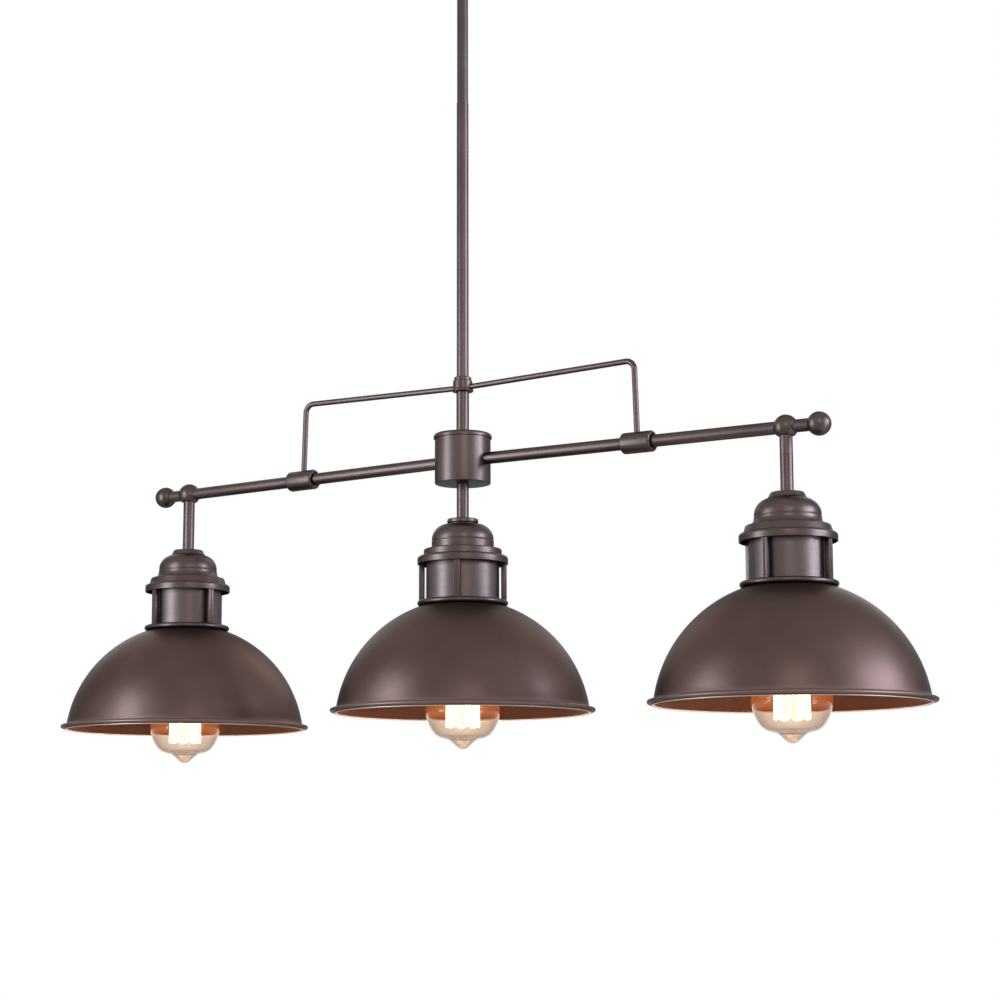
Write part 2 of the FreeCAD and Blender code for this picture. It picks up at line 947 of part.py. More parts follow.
def socket_shell():
    """Brass shell inside the holder."""
    outer = socket_bore - thread_gap
    return turned_down([
        (0, socket_bore_top),
        (outer, socket_bore_top, shell_wall),
        (outer, shell_bottom),
        (outer - shell_wall, shell_bottom),
        (outer - shell_wall, socket_bore_top + shell_plate),
        (0, socket_bore_top + shell_plate),
    ])


def bulb_base():
    """Screw cap with its contact, insulator and rounded thread."""
    contact = bulb_top + base_contact_height
    cone = bulb_top + base_cone_height
    points = [
        (0, bulb_top),
        (base_contact_radius, bulb_top, base_contact_height / 3),
        (base_contact_radius, contact),
        (base_cone_radius, cone),
        (base_root_radius, cone),
    ]
    for i in range(thread_turns):
        start = cone + thread_pitch * (i + thread_crest_share / 2)
        points.append((base_root_radius, start))
        points.append((base_radius, start + thread_pitch * thread_crest_share / 2, THROUGH))
        points.append((base_root_radius, start + thread_pitch * thread_crest_share))
    points += [
        (base_root_radius, base_end),
        (base_bore, base_end),
        (base_bore, bulb_top + base_bore_height),
        (0, bulb_top + base_bore_height),
    ]
    return turned_down(points)


def on_circle(centre, radius, angle):
    """Point on a circle, at an angle from straight down; the centre is (radius, depth)."""
    turn = math.radians(angle)
    return (centre[0] + radius * math.sin(turn), centre[1] + radius * math.cos(turn))


def glass_outline():
    """Outside of the bulb's glass: neck, cone, round body, shoulder and blown tip."""
    neck_radius = base_bore - thread_gap
    collar = (neck_radius + glass_neck_reach, base_end + glass_neck_flare)
    middle = (0, glass_centre)
    away = glass_centre - collar[1]
    lean = math.asin(glass_radius / math.hypot(collar[0], away)) - math.atan2(collar[0], away)
    touch = 90 + math.degrees(lean)
    turn = (glass_shoulder_start + glass_shoulder_end) / 2
    small = on_circle(middle, glass_radius - glass_shoulder_radius, glass_shoulder_start)
    end = (0, glass_tip - glass_tip_radius)
    return [
        (0, glass_neck_top),
        (neck_radius, glass_neck_top),
        (neck_radius, base_end),
        collar,
        on_circle(middle, glass_radius, touch),
        on_circle(middle, glass_radius, (touch + glass_shoulder_start) / 2) + (THROUGH,),
        on_circle(middle, glass_radius, glass_shoulder_start),
        on_circle(small, glass_shoulder_radius, turn) + (THROUGH,),
        on_circle(small, glass_shoulder_radius, glass_shoulder_end),
        glass_waist + (glass_waist_rounding,),
        on_circle(end, glass_tip_radius, glass_tip_end),
        on_circle(end, glass_tip_radius, glass_tip_end / 2) + (THROUGH,),
        (0, glass_tip),
    ]


def bulb_glass():
    """Blown glass of one thickness, open at the top round the stem."""
    outer = glass_outline()
    shrink = 1 - glass_wall / glass_radius
    inner = []
    for point in outer:
        depth = glass_centre + (point[1] - glass_centre) * shrink
        inner.append((point[0] * shrink, depth) + tuple(point[2:]))
    rim = [(glass_hole, glass_neck_top)]
    return turned_down(rim + outer[1:] + inner[:0:-1] + [(glass_hole, inner[0][1])])


def cage_point(index, depth, radius):
    angle = 2 * math.pi * index / cage_strands
    return FreeCAD.Vector(radius * math.cos(angle), radius * math.sin(angle), -depth)


def filament():
    """Glass stem and rod with a zigzag filament of twelve strands hung in a cage."""
    flare = glass_neck_top + stem_flare_height
    edge = glass_hole - thread_gap
    stem = turned_down([
        (0, glass_neck_top),
        (edge, glass_neck_top),
        (edge, flare),
        (stem_tube_radius, flare + stem_flare_cone),
        (stem_tube_radius, stem_tube_end, stem_tube_radius / 2),
        (stem_rod_radius, stem_tube_end),
        (stem_rod_radius, stem_rod_end),
        (0, stem_rod_end),
    ])
    pieces = []
    for i in range(cage_strands):
        low = i % 2 == 0
        depth, radius = (cage_bottom, cage_bottom_radius) if low else (cage_top, cage_top_radius)
        other, inner = (cage_top, cage_top_radius) if low else (cage_bottom, cage_bottom_radius)
        here = cage_point(i, depth, radius)
        there = cage_point(i + 1, other, inner)
        root = flat((0, -stem_rod_end)) if low else flat((0, -stem_tube_end))
        root = root + UP * (strand_radius * 2)
        pieces.append(Part.makeSphere(strand_radius, here))
        pieces.append(straight(here, there, strand_radius))
        pieces.append(straight(root, here, hook_radius))
    return stem.fuse(pieces)


def save(shape, name):
    shape.exportStep("parts/" + name + ".step")


def build():
    os.makedirs("parts", exist_ok=True)
    screws = [canopy_screw(side * canopy_screw_place) for side in (-1, 1)]
    pivot_screw = swivel_screw()
    save(mounting_bar(), "mounting_bar")
    save(canopy(), "canopy")
    save(group(screws), "canopy_screws")
    save(canopy_nipple(), "canopy_nipple")
    save(feed_cable(), "feed_cable")
    save(wire_connectors(), "wire_connectors")
    save(swivel_yoke(), "swivel_yoke")
    save(group([pivot_screw, mirrored(pivot_screw)]), "swivel_screws")
    save(swivel_barrel(), "swivel_barrel")
    save(tube(upper_rod_radius, rod_bore, -joint_depth, -barrel_end), "upper_rod")
    frame = {
        "lower_rod": spigoted(rod_radius, collar_top, collar_top + rod_length),
        "brace_collar": brace_collar(),
        "stem_tube": spigoted(stem_radius, hub_top + lid_height, collar_bottom),
        "hub_shell": hub_shell(),
        "hub_lid": hub_lid(),
        "right_arm": arm(),
        "left_arm": mirrored(arm()),
        "right_brace": brace(),
        "left_brace": mirrored(brace()),
        "arm_sleeves": group([arm_sleeve(), mirrored(arm_sleeve())]),
        "arm_tees": group([arm_tee(), mirrored(arm_tee())]),
        "arm_finials": group([arm_finial(), mirrored(arm_finial())]),
        "rod_nuts": rod_nuts(),
        "lamp_wires": lamp_wires(),
    }
    for name in head_turns:
        frame[name + "_drop_rod"] = drop_rod(name)
    for name, shape in frame.items():
        save(moved(shape, z=-arm_depth), name)
    lamp = {
        "cup": cup(),
        "posts": posts(),
        "gallery": gallery(),
        "shade": shade(),
        "socket": socket(),
        "socket_shell": socket_shell(),
        "bulb_base": bulb_base(),
        "bulb_glass": bulb_glass(),
        "filament": filament(),
    }
    for name, turn in head_turns.items():
        place = {"x": lamp_x(name), "z": -arm_depth - lamp_drop(name), "turn": turn}
        save(moved(neck(name), **place), name + "_neck")
        save(moved(cap(name), **place), name + "_cap")
        for piece, shape in lamp.items():
            save(moved(shape, **place), name + "_" + piece)


build()
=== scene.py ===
"""The island chandelier for rendering: turned, bent and blown pieces, materials and light.

Lengths are millimetres until MM turns them into metres. Outlines are (radius, depth) points.
Depth points down, in a lamp from just above its neck, in the fixture from the middle of the arm.
"""

import json
import math

import bmesh
import bpy
from mathutils import Matrix, Vector

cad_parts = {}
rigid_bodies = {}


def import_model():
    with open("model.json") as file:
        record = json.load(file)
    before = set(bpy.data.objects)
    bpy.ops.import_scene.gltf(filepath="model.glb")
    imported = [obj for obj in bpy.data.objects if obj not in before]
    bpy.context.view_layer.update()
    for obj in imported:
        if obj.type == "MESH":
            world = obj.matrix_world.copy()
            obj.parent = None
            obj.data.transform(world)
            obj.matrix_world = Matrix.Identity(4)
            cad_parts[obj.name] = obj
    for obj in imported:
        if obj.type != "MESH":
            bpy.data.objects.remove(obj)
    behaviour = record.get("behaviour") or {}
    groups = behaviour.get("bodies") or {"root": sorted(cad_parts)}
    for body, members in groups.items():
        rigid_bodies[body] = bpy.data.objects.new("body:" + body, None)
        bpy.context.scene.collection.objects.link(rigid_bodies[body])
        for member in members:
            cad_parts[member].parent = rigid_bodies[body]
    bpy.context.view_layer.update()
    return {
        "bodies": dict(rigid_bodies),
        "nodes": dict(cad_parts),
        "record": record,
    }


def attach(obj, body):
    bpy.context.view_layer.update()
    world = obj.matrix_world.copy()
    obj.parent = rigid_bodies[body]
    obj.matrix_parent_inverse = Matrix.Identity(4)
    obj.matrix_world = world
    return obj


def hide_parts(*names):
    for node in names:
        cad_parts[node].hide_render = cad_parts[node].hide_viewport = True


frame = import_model()

MM = 0.001
SAME_POINT = 1e-5
ON_AXIS = 1e-6
ARC = "arc"
ARC_STEPS = 10

# Steps around a turned piece.
TURNS = 160
SHADE_TURNS = 224
GLASS_TURNS = 128
SMALL_TURNS = 96
STEM_TURNS = 48
RIVET_TURNS = 32

# Turns in degrees that count as sharp edges.
SHARP = 32
SHARP_THIN = 40
SHARP_SOFT = 60

ARM_Z = -633.85
LAMP_PITCH = 311.8
ARM_FALL = math.atan2(2.7, LAMP_PITCH)
SHADE_R = 110.2
SHADE_CENTRE = 182.19
SHEET = 1.0

# Place along the arm, depth under it and turn in degrees of each lamp, and the turn of its bulb.
LAMPS = {
    "left": (-LAMP_PITCH, 54.25, -14.3, -10.0),
    "center": (0.0, 50.05, 26.0, 28.2),
    "right": (LAMP_PITCH, 54.25, -3.7, -2.5),
}


def arc_through(start, middle, end, steps):
    """Points along the circle through three points, both ends included."""
    ax, ay = start
    bx, by = middle
    cx, cy = end
    d = 2 * (ax * (by - cy) + bx * (cy - ay) + cx * (ay - by))
    a2, b2, c2 = ax * ax + ay * ay, bx * bx + by * by, cx * cx + cy * cy
    ux = (a2 * (by - cy) + b2 * (cy - ay) + c2 * (ay - by)) / d
    uy = (a2 * (cx - bx) + b2 * (ax - cx) + c2 * (bx - ax)) / d
    radius = math.hypot(ax - ux, ay - uy)
    first = math.atan2(ay - uy, ax - ux)
    mid = math.atan2(by - uy, bx - ux)
    last = math.atan2(cy - uy, cx - ux)
    way = 1 if (mid - first) % (2 * math.pi) < (last - first) % (2 * math.pi) else -1
    sweep = way * ((way * (last - first)) % (2 * math.pi))
    out = []
    for i in range(steps + 1):
        angle = first + sweep * i / steps
        out.append((ux + radius * math.cos(angle), uy + radius * math.sin(angle)))
    return out


def rounded(before, here, after, radius, steps):
    """Points along the arc that rounds a corner."""
    b = Vector(before) - Vector(here)
    a = Vector(after) - Vector(here)
    half = b.angle(a) / 2
    reach = radius / math.tan(half)
    start = Vector(here) + b.normalized() * reach
    end = Vector(here) + a.normalized() * reach
    inward = (b.normalized() + a.normalized()).normalized()
    mid = Vector(here) + inward * (radius / math.sin(half) - radius)
    return arc_through(tuple(start), tuple(mid), tuple(end), steps)


def outline(points, closed=True, steps=ARC_STEPS):
    """Points of an outline's lines, roundings and arcs.

    A given point is (r, d), (r, d, rounding), or (r, d, ARC) in the middle of an arc.
    """
    out = []
    for i, point in enumerate(points):
        tag = point[2] if len(point) > 2 else 0
        here = point[:2]
        before = points[i - 1][:2]
        after = points[(i + 1) % len(points)][:2]
        if tag == ARC:
            out += arc_through(out[-1], here, after, 3 * steps)[1:-1]
        elif tag:
            out += rounded(before, here, after, tag, steps)
        else:
            out.append(here)
    clean = []
    for point in out:
        if not clean or math.dist(point, clean[-1]) > SAME_POINT:
            clean.append(point)
    if closed and math.dist(clean[0], clean[-1]) < SAME_POINT:
        clean.pop()
    return clean


def as_mesh(name, bm):
    """Turns a bmesh into a mesh and frees it."""
    mesh = bpy.data.meshes.new(name)
    bm.to_mesh(mesh)
    bm.free()
    return mesh


def linked(name, data):
    """A new object in the scene."""
    made = bpy.data.objects.new(name, data)
    bpy.context.scene.collection.objects.link(made)
    return made


def finish_mesh(name, mesh, sharp=SHARP):
    """An object from a mesh that is smooth except where it turns by more than sharp degrees."""
    mesh.validate()
    mesh.shade_smooth()
    mesh.set_sharp_from_angle(angle=math.radians(sharp))
    return linked(name, mesh)


def spun_mesh(name, profile, turns=TURNS):
    """A mesh turned about Z from an outline, closed unless the outline ends on the axis."""
    bm = bmesh.new()
    rings = []
    for radius, depth in profile:
        if radius < ON_AXIS:
            rings.append([bm.verts.new((0, 0, -depth * MM))])
            continue
        ring = []
        for k in range(turns):
            angle = 2 * math.pi * k / turns
            x, y = radius * MM * math.cos(angle), radius * MM * math.sin(angle)
            ring.append(bm.verts.new((x, y, -depth * MM)))
        rings.append(ring)
    pairs = list(zip(rings, rings[1:]))
    if len(rings[0]) > 1 and len(rings[-1]) > 1:
        pairs.append((rings[-1], rings[0]))
    for one, two in pairs:
        if len(one) == 1 and len(two) == 1:
            continue
        for k in range(turns):
            n = (k + 1) % turns
            if len(one) == 1:
                bm.faces.new((one[0], two[k], two[n]))
            elif len(two) == 1:
                bm.faces.new((one[k], two[0], one[n]))
            else:
                bm.faces.new((one[k], two[k], two[n], one[n]))
    bmesh.ops.recalc_face_normals(bm, faces=bm.faces)
    return as_mesh(name, bm)


def spun(name, points, turns=TURNS):
    """A turned piece from an outline."""
    return finish_mesh(name, spun_mesh(name, outline(points), turns))


def put(piece, x=0.0, z=0.0, turn=0.0):
    """Places a piece and turns its mesh by degrees about its upright axis."""
    if turn:
        piece.data.transform(Matrix.Rotation(math.radians(turn), 4, "Z"))
    piece.matrix_world = Matrix.Translation(Vector((x, 0, z)) * MM)
    return piece


def dress(piece, material, body, node=None):
    """Gives a piece its material and its body, and hides the node that it stands for."""
    piece.data.materials.clear()
    piece.data.materials.append(material)
    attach(piece, body)
    if node:
        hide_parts(node)


def joined(name, meshes):
    """One mesh from several (mesh, matrix) pairs."""
    bm = bmesh.new()
    for mesh, matrix in meshes:
        start = len(bm.verts)
        bm.from_mesh(mesh)
        bm.verts.ensure_lookup_table()
        for vert in bm.verts[start:]:
            vert.co = matrix @ vert.co
    return as_mesh(name, bm)


class Tree:
    """A node tree with short calls."""

    def __init__(self, tree):
        self.tree = tree

    def add(self, kind, **values):
        """A node with its settings and constant inputs; an underscore stands for a space."""
        node = self.tree.nodes.new("ShaderNode" + kind)
        for key, value in values.items():
            if hasattr(node, key):
                setattr(node, key, value)
            else:
                node.inputs[key.replace("_", " ")].default_value = value
        return node

    def link(self, source, target):
        """Leads an output to an input."""
        self.tree.links.new(source, target)

    def any_ray(self, first, *others):
        """One for a ray of one of these kinds, else zero."""
        path = self.add("LightPath")
        share = path.outputs[first]
        for kind in others:
            either = self.add("Math", operation="MAXIMUM")
            self.link(share, either.inputs[0])
            self.link(path.outputs[kind], either.inputs[1])
            share = either.outputs["Value"]
        return share

    def mixed(self, share, none, full):
        """A blend of two shaders."""
        mix = self.add("MixShader")
        for socket, source in zip(mix.inputs, (share, none, full)):
            self.link(source, socket)
        return mix.outputs["Shader"]


class Nodes(Tree):
    """A new material's node tree."""

    def __init__(self, name):
        self.material = bpy.data.materials.new(name)
        self.material.use_nodes = True
        super().__init__(self.material.node_tree)
        self.shader = self.tree.nodes["Principled BSDF"]
        self.output = self.tree.nodes["Material Output"]

    def set(self, **values):
        """Constants on the shader's own inputs."""
        for key, value in values.items():
            self.shader.inputs[key.replace("_", " ")].default_value = value

    def feed(self, source, name):
        """Links a value to one of the shader's inputs."""
        self.link(source, self.shader.inputs[name])

    def place(self, scale=(1, 1, 1)):
        """Object coordinates, stretched."""
        coordinates = self.add("TexCoord")
        mapping = self.add("Mapping", Scale=scale)
        self.link(coordinates.outputs["Object"], mapping.inputs["Vector"])
        return mapping.outputs["Vector"]

    def noise(self, vector, scale, detail=2.0, roughness=0.5):
        """A value that varies softly from place to place."""
        node = self.add("TexNoise", Scale=scale, Detail=detail, Roughness=roughness)
        self.link(vector, node.inputs["Vector"])
        return node.outputs["Fac"]

    def ramp(self, value, low, high, start=0.3, end=0.7):
        """Runs from one colour to another while a value runs from start to end."""
        node = self.add("ValToRGB")
        for stop, place, colour in zip(node.color_ramp.elements, (start, end), (low, high)):
            stop.position = place
            stop.color = (*colour, 1)
        self.link(value, node.inputs["Fac"])
        return node.outputs["Color"]

    def spread(self, value, low, high, start=0.3, end=0.7):
        """Runs from low to high while a value runs from start to end."""
        node = self.add("MapRange", From_Min=start, From_Max=end, To_Min=low, To_Max=high)
        self.link(value, node.inputs["Value"])
        return node.outputs["Result"]

    def facing_in(self):
        """One where a shade's surface faces its centre, else zero."""
        coordinates = self.add("TexCoord")
        outward = self.add("VectorMath", operation="ADD")
        self.link(coordinates.outputs["Object"], outward.inputs[0])
        outward.inputs[1].default_value = (0, 0, SHADE_CENTRE * MM)
        facing = self.add("VectorMath", operation="DOT_PRODUCT")
        self.link(outward.outputs["Vector"], facing.inputs[0])
        self.link(coordinates.outputs["Normal"], facing.inputs[1])
        within = self.add("Math", operation="LESS_THAN")
        self.link(facing.outputs["Value"], within.inputs[0])
        within.inputs[1].default_value = 0.0
        return within.outputs["Value"]

    def below(self, depth, soft=0.1):
        """One under a depth, else zero, with a soft step between."""
        coordinates = self.add("TexCoord")
        apart = self.add("SeparateXYZ")
        self.link(coordinates.outputs["Object"], apart.inputs[0])
        low, high = -(depth + soft) * MM, -(depth - soft) * MM
        return self.spread(apart.outputs["Z"], 1.0, 0.0, low, high)

    def blend(self, share, colour, other):
        """A linked colour that gives way to a constant one."""
        mix = self.add("MixRGB", Color2=(*other, 1))
        self.link(share, mix.inputs["Fac"])
        self.link(colour, mix.inputs["Color1"])
        return mix.outputs["Color"]

    def bump(self, heights, edge=0.0):
        """Chained bumps, each (height, strength, distance), over softly rounded edges."""
        normal = None
        if edge:
            normal = self.add("Bevel", samples=4, Radius=edge).outputs["Normal"]
        for height, strength, distance in heights:
            node = self.add("Bump", Strength=strength, Distance=distance)
            self.link(height, node.inputs["Height"])
            if normal:
                self.link(normal, node.inputs["Normal"])
            normal = node.outputs["Normal"]
        self.feed(normal, "Normal")


# Tints of the metal seen edge-on, a shade's inside tone, its painted highlight tones near the hem
# and on the hem's lower edge, and the depths at which these two painted highlights start.
SHEEN = (0.36, 0.41, 0.42)
SHADE_SHEEN = (0.37, 0.41, 0.41)
SHADE_INSIDE = (0.046, 0.0225, 0.0160)
HEM_HIGHLIGHT_DEPTH = 165.0
HEM_HIGHLIGHT_SOFT = 2.5
HEM_HIGHLIGHT_TONE = (0.142, 0.092, 0.084)
HEM_EDGE_HIGHLIGHT_DEPTH = 170.05
HEM_EDGE_HIGHLIGHT_TONE = (0.46, 0.37, 0.33)

# Radii of softened edges, in metres.
BRONZE_EDGE = 0.0003
PLAIN_EDGE = 0.0002

# Scale, detail and roughness of the noises in the metal.
CLOUDS = (16.0, 4.0, 0.55)
BRUSHING = (1.0, 3.0, 0.65)
BRUSH_STRETCH = (18, 18, 2600)
GRAIN_SCALE = 1500.0
PEEL_SCALE = 240.0


def shade_tones(m, colour):
    """A shade's colour: browner and duller inside, with painted highlights: a lighter band near
    the hem and a bright lower edge.
    """
    within = m.facing_in()
    m.feed(m.spread(within, 1.0, 0.05, 0.0, 1.0), "Metallic")
    m.feed(m.spread(within, 0.5, 0.1, 0.0, 1.0), "Specular IOR Level")
    # Painted highlight: a lighter band of colour near the hem stands in for light falling there.
    colour = m.blend(m.below(HEM_HIGHLIGHT_DEPTH, HEM_HIGHLIGHT_SOFT), colour, HEM_HIGHLIGHT_TONE)
    colour = m.blend(within, colour, SHADE_INSIDE)
    # Painted highlight: the hem's lower edge is coloured bright, standing in for light reflected
    # there.
    return m.blend(m.below(HEM_EDGE_HIGHLIGHT_DEPTH), colour, HEM_EDGE_HIGHLIGHT_TONE)


def bronze(name, dark, light, rough=0.36, brushed=False, shade=False):
    """Satin oil-rubbed bronze: fine grain, soft clouds of colour and little sheen edge-on."""
    m = Nodes(name)
    m.set(Metallic=1.0, Specular_Tint=(*(SHADE_SHEEN if shade else SHEEN), 1))
    clouds = m.noise(m.place(), *CLOUDS)
    colour = m.ramp(clouds, dark, light, 0.32, 0.68)
    if shade:
        colour = shade_tones(m, colour)
    m.feed(colour, "Base Color")
    grain = m.noise(m.place(), GRAIN_SCALE)
    if brushed:
        lines = m.noise(m.place(BRUSH_STRETCH), *BRUSHING)
        m.feed(m.spread(lines, rough - 0.07, rough + 0.1), "Roughness")
        m.bump([(lines, 0.22, 0.0001), (grain, 0.05, 0.0001)], BRONZE_EDGE)
    else:
        m.feed(m.spread(clouds, rough - 0.03, rough + 0.04), "Roughness")
        peel = m.noise(m.place(), PEEL_SCALE)
        m.bump([(peel, 0.05, 0.0004), (grain, 0.09, 0.0001)], BRONZE_EDGE)
    return m.material


def plain(name, dark, light, metallic, rough):
    """A simple moulded or plated surface with slight variation."""
    m = Nodes(name)
    m.set(Metallic=metallic)
    value = m.noise(m.place(), 60.0, 3.0)
    m.feed(m.ramp(value, dark, light), "Base Color")
    m.feed(m.spread(value, rough - 0.04, rough + 0.05), "Roughness")
    m.bump([(m.noise(m.place(), 1200.0), 0.05, 0.0001)], PLAIN_EDGE)
    return m.material


# Painted glow: the glass emits warm light beside the filament, standing in for its glare, down to
# the filament's foot, at a depth.
GLASS_EDGE_TINT = (0.22, 0.12, 0.07)
PAINTED_GLOW_TONE = (1.0, 0.30, 0.09, 1)
PAINTED_GLOW_STRENGTH = 0.1
PAINTED_GLOW_END = 175.0
PAINTED_GLOW_SOFT = 3.0


def amber_glass():
    """Thin amber glass with the faint waves of blown glass, and a painted glow beside the hot
    filament.
    """
    m = Nodes("amber_glass")
    m.set(Metallic=0.0, Roughness=0.0, IOR=1.2, Transmission_Weight=1.0)
    waves = m.noise(m.place((1, 1, 0.4)), 55.0, 1.0)
    tint = m.ramp(waves, (0.94, 0.82, 0.70), (0.97, 0.86, 0.74))
    slant = m.add("LayerWeight", Blend=0.3)
    m.feed(m.blend(slant.outputs["Facing"], tint, GLASS_EDGE_TINT), "Base Color")
    # Painted glow: warm emission in the glass, fading out below the filament's foot.
    m.set(Emission_Color=PAINTED_GLOW_TONE)
    beyond_glow = m.below(PAINTED_GLOW_END, PAINTED_GLOW_SOFT)
    m.feed(m.spread(beyond_glow, PAINTED_GLOW_STRENGTH, 0.0, 0.0, 1.0), "Emission Strength")
    m.bump([(waves, 0.12, 0.0004)])
    return m.material


def stem_glass():
    """Clear, slightly warm glass of the stem inside a bulb."""
    m = Nodes("stem_glass")
    m.set(Roughness=0.02, IOR=1.5, Transmission_Weight=1.0)
    waves = m.noise(m.place(), 90.0, 1.0)
    m.feed(m.ramp(waves, (0.97, 0.9, 0.78), (0.99, 0.94, 0.84)), "Base Color")
    m.bump([(waves, 0.1, 0.0003)])
    return m.material


def hot_filament():
    """Hot filament wire, unevenly bright."""
    m = Nodes("hot_filament")
    m.set(Roughness=0.5)
    value = m.noise(m.place(), 130.0)
    heat = m.ramp(value, (1.0, 0.62, 0.25), (1.0, 0.78, 0.42))
    m.feed(heat, "Base Color")
    m.feed(heat, "Emission Color")
    m.feed(m.spread(value, 4.6, 5.6), "Emission Strength")
    return m.material


LOOKS = {
    "bronze": bronze("bronze", (0.074, 0.052, 0.048), (0.094, 0.067, 0.062)),
    "shade_bronze": bronze(
        "shade_bronze", (0.081, 0.051, 0.0450), (0.102, 0.065, 0.0578), 0.43, shade=True
    ),
    "brushed_bronze": bronze(
        "brushed_bronze", (0.092, 0.068, 0.066), (0.121, 0.090, 0.087), 0.38, brushed=True
    ),
    "rod_bronze": bronze("rod_bronze", (0.068, 0.054, 0.053), (0.082, 0.065, 0.064)),
    "zinc": plain("zinc_plate", (0.50, 0.50, 0.48), (0.64, 0.64, 0.61), 1.0, 0.38),
    "brass": plain("lamp_brass", (0.62, 0.42, 0.18), (0.74, 0.54, 0.27), 1.0, 0.28),
    "phenolic": plain("phenolic", (0.016, 0.014, 0.013), (0.03, 0.026, 0.024), 0.0, 0.4),
    "cable": plain("cable_skin", (0.012, 0.012, 0.012), (0.022, 0.022, 0.022), 0.0, 0.5),
    "connector": plain("connector_plastic", (0.66, 0.44, 0.05), (0.78, 0.54, 0.08), 0.0, 0.35),
    "amber_glass": amber_glass(),
    "filament_glass": stem_glass(),
}
HOT = hot_filament()

for part in frame["record"]["subparts"]:
    node = frame["nodes"][part["node"]]
    node.data.materials.clear()
    node.data.materials.append(LOOKS[part["material_slot"]])


def on_shade(radius, depth, *tag):
    """Point of a sphere about the shade's centre at a depth."""
    return (math.sqrt(radius ** 2 - (SHADE_CENTRE - depth) ** 2), depth, *tag)


def shade_outline():
    """Spun dome, flat crown, and a hem whose sheet is rolled outward and back on itself."""
    inner = SHADE_R - SHEET
    return [
        (20.5, 78.0),
        (35.6, 78.0, 0.5),
        on_shade(SHADE_R, 79.0),
        on_shade(SHADE_R, 122.0, ARC),
        on_shade(SHADE_R, 165.2),
        (109.6, 166.5, 0.5),
        (111.9, 166.75),
        (114.3, 168.2, ARC),
        (112.1, 169.62),
        (110.0, 169.55, 0.15),
        (109.9, 169.95, 0.15),
        (110.7, 170.2, 0.2),
        (110.7, 170.95, 0.3),
        (109.6, 170.95, 0.3),
        on_shade(inner, 170.2),
        on_shade(inner, 124.0, ARC),
        on_shade(inner, 79.0),
        (20.5, 79.0),
    ]


NECK_DISC = [
    (5.4, 1.7),
    (13.6, 1.7, 1.2),
    (13.6, 5.4, 0.8),
    (12.2, 5.4, 0.3),
    (12.2, 6.4),
    (5.4, 6.4),
]
NECK_CONE = [
    (5.4, 1.7),
    (13.4, 1.7, 0.9),
    (14.2, 3.2),
    (15.0, 4.9, ARC),
    (16.2, 6.4),
    (5.4, 6.4),
]
STRAIGHT_FOOT = [(27.0, 28.0, 0.4), (27.4, 28.4), (34.0, 28.4, 1.4), (34.0, 34.6, 0.5)]
FLARED_FOOT = [
    (27.73, 25.05, ARC),
    (29.6, 28.2),
    (30.0, 28.4),
    (34.0, 28.4, 1.4),
    (35.9, 34.6, 0.4),
]


def cap_outline(foot):
    """Spun cap: dome, fine crease, step and rim, hollow below."""
    return [
        (5.4, 6.4),
        (27.0, 6.4, 13.6),
        (27.0, 20.4, 0.6),
        (26.8, 21.1, 0.25),
        (27.15, 21.9, 0.3),
        *foot,
        (39.5, 34.6, 2.6),
        (39.5, 41.6, 0.4),
        (38.5, 41.6, 0.3),
        (38.5, 36.9),
        (32.8, 36.9),
        (32.8, 29.6),
        (25.8, 29.6),
        (25.8, 7.5, 12.4),
        (5.4, 7.5),
    ]


CUP = [
    (3.0, 29.6),
    (31.8, 29.6),
    (31.8, 76.0),
    (30.8, 76.0),
    (30.8, 30.6),
    (3.0, 30.6),
]
GALLERY = [
    (20.5, 76.0),
    (34.734, 76.0),
    (38.797, 73.903, ARC),
    (37.1, 78.0),
    (20.5, 78.0),
]

# The bulb's glass: centres, radii, and angles in degrees from straight down.
GLASS_SHEET = 0.9
NECK_R = 11.8
COLLAR_R = 12.9
COLLAR_DEPTH = 89.4
BELLY = (0, 167.0)
BELLY_R = 32.2
BELLY_END = 52
FOOT_R = 14.0
FOOT_END = 12
WAIST = (11.7, 193.3)
WAIST_SHRINK = 0.35
TIP = (0, 193.9)
TIP_R = 7.4
TIP_START = 38


def circle_point(centre, radius, angle, *tag):
    """Point of a circle at an angle from straight down."""
    a = math.radians(angle)
    return (centre[0] + radius * math.sin(a), centre[1] + radius * math.cos(a), *tag)


def glass_outline(offset=0.0):
    """Blown pear shape with a drawn tip; offset moves it inward for the inner skin."""
    neck, belly_r = NECK_R - offset, BELLY_R - offset
    collar = (COLLAR_R - offset, COLLAR_DEPTH)
    away = BELLY[1] - collar[1]
    across = math.atan2(collar[0], away)
    lean = math.degrees(math.asin(belly_r / math.hypot(collar[0], away)) - across)
    foot, foot_r = circle_point(BELLY, BELLY_R - FOOT_R, BELLY_END), FOOT_R - offset
    tip_r = TIP_R - offset
    return [
        (neck, 76.0 + offset),
        (neck, 87.2, 2.0),
        (*collar, 8.0),
        circle_point(BELLY, belly_r, 90 + lean),
        circle_point(BELLY, belly_r, (90 + lean + BELLY_END) / 2, ARC),
        circle_point(BELLY, belly_r, BELLY_END),
        circle_point(foot, foot_r, (BELLY_END + FOOT_END) / 2, ARC),
        circle_point(foot, foot_r, FOOT_END),
        (WAIST[0] - WAIST_SHRINK * offset, WAIST[1] - offset, 5.0),
        circle_point(TIP, tip_r, TIP_START),
        circle_point(TIP, tip_r, TIP_START / 2, ARC),
        (0, TIP[1] + tip_r),
    ]


RIDGES = 5
RIDGE_PITCH = 3.63
RIDGE_CREST = 0.91
RIDGE_R = 13.0
SCREW_R = 12.5
SCREW_START = 64.4
SCREW_END = 87.2


